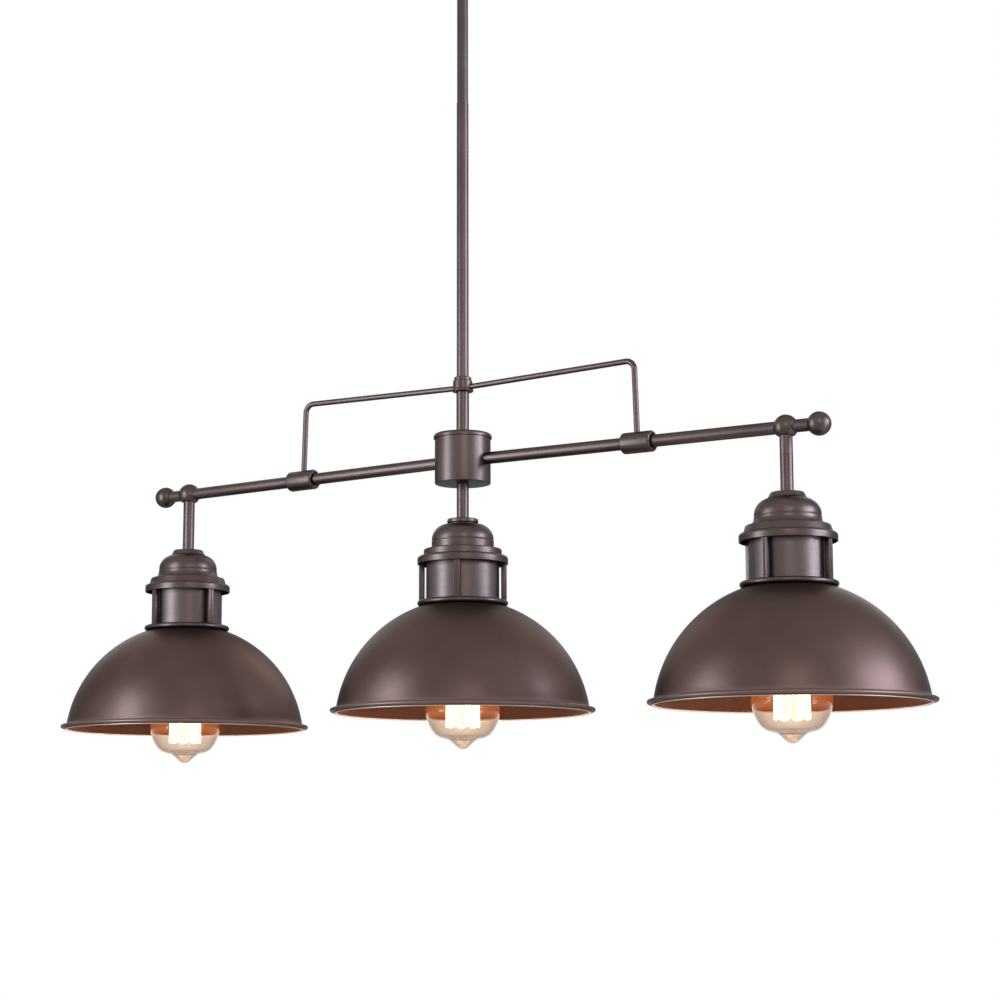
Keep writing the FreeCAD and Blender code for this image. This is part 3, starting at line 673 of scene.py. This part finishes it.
def screw_cap_outline():
    """A bulb's screw cap from its contact to its open end, with rolled ridges."""
    points = [(0, 60.0), (3.6, 60.0, 0.5), (3.6, 61.6), (11.4, SCREW_START)]
    points.append((SCREW_R, SCREW_START, 0.3))
    for i in range(RIDGES):
        start = SCREW_START + RIDGE_PITCH * (i + 0.25)
        points.append((SCREW_R, start))
        points.append((RIDGE_R, start + RIDGE_CREST, ARC))
        points.append((SCREW_R, start + RIDGE_PITCH / 2))
    return points + [(SCREW_R, SCREW_END), (11.9, SCREW_END), (11.9, 67.0), (0, 67.0)]


def bar_mesh(name, low, high, bevel, segments=3):
    """A box with rounded edges between two corners."""
    bm = bmesh.new()
    bmesh.ops.create_cube(bm, size=1.0)
    for vert in bm.verts:
        for axis in range(3):
            middle, size = (low[axis] + high[axis]) / 2, high[axis] - low[axis]
            vert.co[axis] = (middle + vert.co[axis] * size) * MM
    bmesh.ops.bevel(
        bm, geom=bm.edges[:], offset=bevel * MM, segments=segments, affect="EDGES", profile=0.5
    )
    return as_mesh(name, bm)


# Low and high corners of a post's two ribs, and of the web in the groove between them.
POSTS = 4
RIB_NEAR = ((33.7, -2.7, -74.6), (38.2, -0.25, -36.9))
RIB_FAR = ((33.7, 0.25, -74.6), (38.2, 2.7, -36.9))
WEB = ((33.9, -0.6, -74.5), (37.7, 0.6, -37.0))
RIB_EDGE = 0.35
WEB_EDGE = 0.05
RIVET = [(0, -0.35), (0.6, -0.35, 0.2), (0.9, 0.0), (0.9, 0.6), (0, 0.6)]
RIVET_SPOT = (38.2, 0, -70.0)


def posts(name):
    """Four posts, each two rounded ribs with a groove between, and a rivet near its foot."""
    rib_near = bar_mesh("rib_near", *RIB_NEAR, RIB_EDGE)
    rib_far = bar_mesh("rib_far", *RIB_FAR, RIB_EDGE)
    web = bar_mesh("web", *WEB, WEB_EDGE, 1)
    head = spun_mesh("rivet", outline(RIVET), RIVET_TURNS)
    outward = Matrix.Rotation(math.pi / 2, 4, "Y")
    spot = Matrix.Translation(Vector(RIVET_SPOT) * MM) @ outward
    meshes = []
    for i in range(POSTS):
        turn = Matrix.Rotation(2 * math.pi * i / POSTS, 4, "Z")
        meshes += [(rib_near, turn), (rib_far, turn), (web, turn), (head, turn @ spot)]
    return finish_mesh(name, joined(name, meshes), SHARP_THIN)


WIRE_STEPS = 8


def wire(name, paths, radius, sides):
    """Round wire along smooth paths of (x, y, depth) points; sides sets how round it is."""
    curve = bpy.data.curves.new(name, "CURVE")
    curve.dimensions = "3D"
    curve.bevel_depth = radius * MM
    curve.bevel_resolution = sides
    curve.use_fill_caps = True
    for path in paths:
        spline = curve.splines.new("NURBS")
        spline.points.add(len(path) - 1)
        for point, (x, y, depth) in zip(spline.points, path):
            point.co = (x * MM, y * MM, -depth * MM, 1)
        spline.order_u = 3
        spline.use_endpoint_u = True
        spline.resolution_u = WIRE_STEPS
    carrier = linked(name + "_curve", curve)
    bpy.context.view_layer.update()
    graph = bpy.context.evaluated_depsgraph_get()
    mesh = bpy.data.meshes.new_from_object(carrier.evaluated_get(graph))
    mesh.name = name
    bpy.data.objects.remove(carrier)
    return mesh


STRANDS = 16
CAGE_TOP = (13.0, 116.0)
CAGE_FOOT = (13.8, 182.0)
STRAND_R = 0.95
STRAND_SIDES = 6
STRAND_STOPS = (0.0, 0.03, 0.1, 0.4, 0.6, 0.9, 0.97, 1.0)
SUPPORT_R = 0.22
SUPPORT_SIDES = 3
STEM = [
    (0, 76.0),
    (8.8, 76.0),
    (8.8, 77.0, 0.4),
    (3.4, 85.0, 4.0),
    (3.4, 112.0, 1.7),
    (1.1, 112.6, 0.4),
    (1.1, 178.6, 0.4),
    (0, 180.0),
]
STEM_SHOULDER = (0, 0, 111.0)
STEM_FOOT = (0, 0, 178.2)


def cage_point(index, ring):
    """Point of the filament's cage, on a ring of a radius at a depth."""
    radius, depth = ring
    angle = 2 * math.pi * index / STRANDS
    return (radius * math.cos(angle), radius * math.sin(angle), depth)


def between(one, two, share):
    """The point at a share of the way from one point to another."""
    return tuple(a + (b - a) * share for a, b in zip(one, two))


def filament(name):
    """One wire that runs up and down around the cage in upright strands."""
    path = []
    for i in range(STRANDS):
        ends = cage_point(i, CAGE_TOP), cage_point(i, CAGE_FOOT)
        here, there = ends if i % 2 == 0 else ends[::-1]
        path += [between(here, there, share) for share in STRAND_STOPS]
    return finish_mesh(name, wire(name, [path], STRAND_R, STRAND_SIDES), SHARP_SOFT)


def support_wires(name):
    """Thin wires from the stem to the filament's bends."""
    paths = []
    for i in range(STRANDS):
        root, ring = (STEM_FOOT, CAGE_FOOT) if i % 2 == 0 else (STEM_SHOULDER, CAGE_TOP)
        end = cage_point(i + 0.5, ring)
        paths.append([root, between(root, end, 0.5), end])
    return finish_mesh(name, wire("hooks", paths, SUPPORT_R, SUPPORT_SIDES), SHARP_SOFT)


def bulb_glass(name):
    """Thin blown glass with an outer and an inner skin."""
    outer = outline(glass_outline(), closed=False)
    inner = outline(glass_outline(GLASS_SHEET), closed=False)
    skin = spun_mesh(name, outer + inner[::-1], GLASS_TURNS)
    return finish_mesh(name, skin, SHARP_SOFT)


LIGHT_DEPTH = 160
LIGHT_WATTS = 1.7
LIGHT_COLOUR = (1.0, 0.56, 0.24)
LIGHT_SIZE = 0.012


def glow_light(name, body, place):
    """A warm point light inside a bulb, seen only by what it lights."""
    light = bpy.data.lights.new(name, "POINT")
    light.energy = LIGHT_WATTS
    light.color = LIGHT_COLOUR
    light.shadow_soft_size = LIGHT_SIZE
    shine = linked(name, light)
    shine.location = Vector(place) * MM
    shine.visible_glossy = False
    shine.visible_transmission = False
    shine.parent = frame["bodies"][body]


for lamp, (x, drop, turn, bulb_turn) in LAMPS.items():
    z = ARM_Z - drop
    body = lamp + "_lamp"
    bulb = lamp + "_bulb"
    neck, foot = (NECK_DISC, STRAIGHT_FOOT) if lamp == "center" else (NECK_CONE, FLARED_FOOT)
    for node, piece, rider, slot in (
        ("neck", spun(lamp + "_turned_neck", neck), body, "bronze"),
        ("cap", spun(lamp + "_spun_cap", cap_outline(foot)), body, "bronze"),
        ("cup", spun(lamp + "_brushed_cup", CUP), body, "brushed_bronze"),
        ("gallery", spun(lamp + "_beaded_ring", GALLERY), body, "bronze"),
        ("shade", spun(lamp + "_spun_shade", shade_outline(), SHADE_TURNS), body, "shade_bronze"),
        ("posts", posts(lamp + "_ribbed_posts"), body, "bronze"),
        ("bulb_base", spun(lamp + "_screw_cap", screw_cap_outline(), SMALL_TURNS), bulb, "brass"),
    ):
        put(piece, x, z, turn)
        dress(piece, LOOKS[slot], rider, lamp + "_" + node)
    glass = put(bulb_glass(lamp + "_blown_glass"), x, z, turn)
    dress(glass, LOOKS["amber_glass"], bulb, lamp + "_bulb_glass")
    glass.visible_shadow = False
    strands = put(filament(lamp + "_filament_strands"), x, z, bulb_turn)
    dress(strands, HOT, bulb, lamp + "_filament")
    stem_mesh = spun_mesh("stem_body", outline(STEM), STEM_TURNS)
    stem = put(finish_mesh(lamp + "_glass_stem", stem_mesh, SHARP_THIN), x, z, turn)
    dress(stem, LOOKS["filament_glass"], bulb)
    stem.visible_shadow = False
    supports = put(support_wires(lamp + "_support_wires"), x, z, bulb_turn)
    dress(supports, LOOKS["zinc"], bulb)
    glow_light(lamp + "_glow", bulb, (x, 0, z - LIGHT_DEPTH))


HUB_SHELL = [
    (5.4, 20.8),
    (24.5, 20.8, 0.9),
    (24.5, -19.15, 0.2),
    (22.9, -19.15),
    (22.9, 18.4),
    (5.4, 18.4),
]
HUB_LID = [
    (4.2, -23.55),
    (25.6, -23.55, 2.6),
    (25.6, -19.15, 0.3),
    (22.8, -19.15),
    (22.8, -16.15),
    (20.8, -16.15),
    (20.8, -21.75),
    (9.0, -21.75),
    (9.0, -16.55),
    (4.2, -16.55),
]
COLLAR = [
    (4.2, -61.25),
    (9.5, -61.25, 1.1),
    (9.5, -63.85, 1.1),
    (8.6, -63.85, 0.3),
    (8.6, -71.35, 0.9),
    (7.6, -71.35),
    (7.6, -74.45, 1.0),
    (4.2, -74.45),
]
SLEEVE = [
    (5.4, -12.9),
    (6.6, -12.9),
    (6.6, -14.3, 0.2),
    (9.0, -14.3, 2.0),
    (9.0, 14.3, 2.0),
    (6.6, 14.3, 0.2),
    (6.6, 12.9),
    (5.4, 12.9),
]
FINIAL = [
    (5.4, 8.178),
    (9.8, 0.0, ARC),
    (0.0, -9.8),
    (0.0, -2.0),
    (5.4, -2.0),
]
TEE = [
    (0.0, -10.1),
    (10.1, 0.0, ARC),
    (7.281, 7.0),
    (5.3, 7.0, 0.3),
    (5.3, 22.4, 0.25),
    (4.2, 22.4),
    (4.2, 5.4),
    (0.0, 5.4),
]
CANOPY = [
    (5.3, 25.0),
    (66.5, 25.0, 9.0),
    (66.5, 0.0, 0.3),
    (65.3, 0.0, 0.3),
    (65.3, 23.8, 7.8),
    (5.3, 23.8),
]
SLEEVE_REACH = 176.2
FINIAL_REACH = 341.1
BRACE = [(5.6, 65.15), (173.0, 68.95, 8.0), (175.2, 4.08)]
BRACE_R = 2.5
BRACE_TURNS = 40
BRACE_STEPS = 18


def brace(name, side):
    """A round bar bent in the XZ plane, from the collar to one side's sleeve."""
    points = [(side * reach, *rest) for reach, *rest in BRACE]
    path = outline(points, closed=False, steps=BRACE_STEPS)
    bm = bmesh.new()
    rings = []
    for i, (x, z) in enumerate(path):
        before = path[max(i - 1, 0)]
        after = path[min(i + 1, len(path) - 1)]
        tx, tz = after[0] - before[0], after[1] - before[1]
        size = math.hypot(tx, tz)
        ring = []
        for k in range(BRACE_TURNS):
            angle = 2 * math.pi * k / BRACE_TURNS
            across, out = BRACE_R * math.cos(angle), BRACE_R * math.sin(angle)
            spot = (x - tz / size * across, out, z + tx / size * across)
            ring.append(bm.verts.new(Vector(spot) * MM))
        rings.append(ring)
    for one, two in zip(rings, rings[1:]):
        for k in range(BRACE_TURNS):
            n = (k + 1) % BRACE_TURNS
            bm.faces.new((one[k], two[k], two[n], one[n]))
    bm.faces.new(rings[0])
    bm.faces.new(rings[-1])
    bmesh.ops.recalc_face_normals(bm, faces=bm.faces)
    return finish_mesh(name, as_mesh(name, bm))


def pair(name, mesh_name, points, reach, lying=True):
    """The same piece on both falling arms, lying along them or upright."""
    mesh = spun_mesh(mesh_name, outline(points), SMALL_TURNS)
    both = []
    for side in (-1, 1):
        angle = side * (math.pi / 2 + ARM_FALL) if lying else 0.0
        place = Vector((side * reach, 0, -reach * math.tan(ARM_FALL))) * MM
        both.append((mesh, Matrix.Translation(place) @ Matrix.Rotation(angle, 4, "Y")))
    return finish_mesh(name, joined(name, both))


for node, piece in (
    ("hub_shell", spun("turned_hub", HUB_SHELL)),
    ("hub_lid", spun("turned_hub_lid", HUB_LID)),
    ("brace_collar", spun("turned_collar", COLLAR)),
    ("arm_sleeves", pair("rounded_sleeves", "sleeve", SLEEVE, SLEEVE_REACH)),
    ("arm_finials", pair("end_balls", "finial", FINIAL, FINIAL_REACH)),
    ("arm_tees", pair("tee_balls", "tee", TEE, LAMP_PITCH, lying=False)),
    ("right_brace", brace("bent_brace_right", 1)),
    ("left_brace", brace("bent_brace_left", -1)),
):
    put(piece, z=ARM_Z)
    dress(piece, LOOKS["bronze"], "fixture", node)
canopy = put(spun("pressed_canopy", CANOPY))
dress(canopy, LOOKS["bronze"], "ceiling_plate", "canopy")


YAW = math.radians(32.8366)
PITCH = math.radians(8.8777)
ROLL = math.radians(-0.1682)
EYE = (1099.58, -1643.85, -977.62)
FOCAL_PX = 2292.38
FRAME_PX = 1000
SENSOR = 36.0
CLIP = (0.05, 60)


def add_camera():
    """The camera that was fitted to the photograph."""
    ahead = Vector((-math.sin(YAW), math.cos(YAW), 0)) * math.cos(PITCH)
    ahead.z = math.sin(PITCH)
    level = Vector((math.cos(YAW), math.sin(YAW), 0))
    upright = level.cross(ahead)
    right = level * math.cos(ROLL) + upright * math.sin(ROLL)
    up = upright * math.cos(ROLL) - level * math.sin(ROLL)
    data = bpy.data.cameras.new("camera")
    data.sensor_width = SENSOR
    data.lens = FOCAL_PX * SENSOR / FRAME_PX
    data.clip_start, data.clip_end = CLIP
    camera = linked("camera", data)
    turned = Matrix((right, up, -ahead)).transposed().to_4x4()
    camera.matrix_world = Matrix.Translation(Vector(EYE) * MM) @ turned
    bpy.context.scene.camera = camera


add_camera()

MIDDLE = Vector((0, 0, ARM_Z * MM))
TO_CAMERA = Vector((math.sin(YAW), -math.cos(YAW), 0))
SIDE = Vector((math.cos(YAW), math.sin(YAW), 0))
WHITE = (1.0, 1.0, 1.0)
SKY = (0.72, 0.84, 1.0)
COOL = (0.72, 0.90, 1.0)

# Azimuth in degrees, from behind the camera round to its right, elevation in degrees, distance,
# width and height in metres, watts, colour, and the place along the arm that the light looks at.
SOFTBOXES = {
    "left_softbox": (-78.8, 0, 1.175, 0.34, 0.75, 8.8, COOL, 0.312),
    "right_softbox": (62, 5, 2.6, 0.6, 2.0, 46, SKY, 0.0),
    "far_right_softbox": (79, 14, 2.6, 0.3, 0.8, 32, SKY, 0.0),
    "front_softbox": (8, 15, 1.4, 0.4, 0.4, 2.2, WHITE, 0.0),
    "back_left_softbox": (-150, 30, 3.0, 1.4, 1.8, 26, WHITE, 0.0),
    "back_right_softbox": (150, 30, 3.0, 1.4, 1.8, 26, WHITE, 0.0),
}


def softbox(name, azimuth, elevation, distance, width, height, power, colour, aim):
    """A rectangular area light that looks at the arm."""
    a, e = math.radians(azimuth), math.radians(elevation)
    level = TO_CAMERA * math.cos(a) + SIDE * math.sin(a)
    way = level * math.cos(e) + Vector((0, 0, math.sin(e)))
    light = bpy.data.lights.new(name, "AREA")
    light.shape = "RECTANGLE"
    light.size = width
    light.size_y = height
    light.energy = power
    light.color = colour
    box = linked(name, light)
    box.location = MIDDLE + Vector((aim, 0, 0)) + way * distance
    box.visible_camera = False
    box.rotation_mode = "QUATERNION"
    box.rotation_quaternion = (-way).to_track_quat("-Z", "Y")


for name, settings in SOFTBOXES.items():
    softbox(name, *settings)

FLOOR_Z = -1.75
FLOOR_R = 3.2
FLOOR_TURNS = 96
FLOOR_ROUGHNESS = 0.7
FLOOR_COLOUR = (0.75, 0.735, 0.715, 1)
FADE_START = 0.7
FADE_END = 2.6


def floor_material():
    """Pale floor with the object's shadow, plain white away from it and clear from below."""
    m = Nodes("pale_floor")
    m.set(Base_Color=FLOOR_COLOUR, Roughness=FLOOR_ROUGHNESS)
    coordinates = m.add("TexCoord")
    length = m.add("VectorMath", operation="LENGTH")
    m.link(coordinates.outputs["Object"], length.inputs[0])
    share = m.add("Math", operation="MULTIPLY")
    m.link(m.spread(length.outputs["Value"], 0.0, 1.0, FADE_START, FADE_END), share.inputs[0])
    m.link(m.any_ray("Is Camera Ray", "Is Transmission Ray"), share.inputs[1])
    white = m.add("Emission", Strength=1.0)
    top = m.mixed(share.outputs["Value"], m.shader.outputs["BSDF"], white.outputs["Emission"])
    behind = m.add("NewGeometry").outputs["Backfacing"]
    clear = m.add("BsdfTransparent").outputs["BSDF"]
    m.link(m.mixed(behind, top, clear), m.output.inputs["Surface"])
    return m.material


bm = bmesh.new()
bmesh.ops.create_circle(bm, cap_ends=True, segments=FLOOR_TURNS, radius=FLOOR_R)
floor = linked("floor", as_mesh("floor", bm))
floor.location = (0, 0, FLOOR_Z)
floor.data.materials.append(floor_material())

FILL = 0.55

# White where it is seen, directly or in metal and glass, and dimmer as a light on the object.
world = bpy.data.worlds.new("world")
bpy.context.scene.world = world
world.use_nodes = True
sky = Tree(world.node_tree)
seen = sky.any_ray("Is Camera Ray", "Is Glossy Ray", "Is Transmission Ray")
lit = sky.add("Background", Color=(1, 1, 1, 1), Strength=FILL)
shown = sky.tree.nodes["Background"]
shown.inputs["Color"].default_value = (1, 1, 1, 1)
shown.inputs["Strength"].default_value = 1.0
mix = sky.mixed(seen, lit.outputs["Background"], shown.outputs["Background"])
sky.link(mix, sky.tree.nodes["World Output"].inputs["Surface"])

bpy.context.scene.view_settings.view_transform = "Standard"
